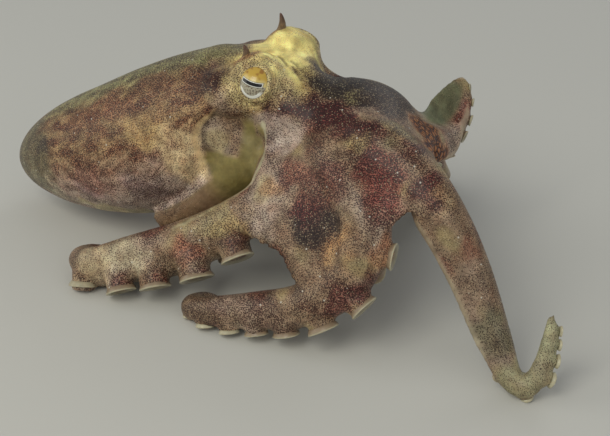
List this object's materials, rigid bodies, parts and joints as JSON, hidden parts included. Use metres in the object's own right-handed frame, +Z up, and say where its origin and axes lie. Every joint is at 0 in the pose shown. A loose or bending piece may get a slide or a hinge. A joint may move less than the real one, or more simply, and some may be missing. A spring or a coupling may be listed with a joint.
{
  "type": "octopus",
  "caption": "Still life-size octopus resting on its curled arms, sac-like mantle behind a raised head with bulging eyes and small horns, webs between the arms.",
  "frame": {"origin": "on the floor below the middle of the whole body's box", "axes": "+X the way the head faces, +Y the animal's left side, +Z up"},
  "size_m": [0.1772, 0.1084, 0.0702],
  "materials": {
    "mottled_skin": "wet satin, finely speckled olive brown and maroon",
    "web_skin": "wet satin, thin and slightly translucent",
    "funnel_skin": "wet smooth, pale olive",
    "horn_skin": "matt reddish brown",
    "eye": "wet gloss, gold above and silver below a black slit"
  },
  "bodies": {
    "root": {"mantle": "mottled_skin", "head": "mottled_skin", "eye_right": "eye", "papilla_right": "horn_skin", "eye_left": "eye", "papilla_left": "horn_skin", "funnel": "funnel_skin", "crown": "mottled_skin", "arm_r1_base": "mottled_skin", "arm_r1_middle": "mottled_skin", "arm_r1_tip": "mottled_skin", "arm_r2_base": "mottled_skin", "arm_r2_middle": "mottled_skin", "arm_r2_tip": "mottled_skin", "arm_r3_base": "mottled_skin", "arm_r3_middle": "mottled_skin", "arm_r3_tip": "mottled_skin", "arm_r4_base": "mottled_skin", "arm_r4_middle": "mottled_skin", "arm_r4_tip": "mottled_skin", "arm_l4_base": "mottled_skin", "arm_l4_middle": "mottled_skin", "arm_l4_tip": "mottled_skin", "arm_l3_base": "mottled_skin", "arm_l3_middle": "mottled_skin", "arm_l3_tip": "mottled_skin", "arm_l2_base": "mottled_skin", "arm_l2_middle": "mottled_skin", "arm_l2_tip": "mottled_skin", "arm_l1_base": "mottled_skin", "arm_l1_middle": "mottled_skin", "arm_l1_tip": "mottled_skin", "web_r1_r2": "web_skin", "web_r2_r3": "web_skin", "web_r3_r4": "web_skin", "web_r4_l4": "web_skin", "web_l4_l3": "web_skin", "web_l3_l2": "web_skin", "web_l2_l1": "web_skin", "web_l1_r1": "web_skin"}
  },
  "joints": []
}
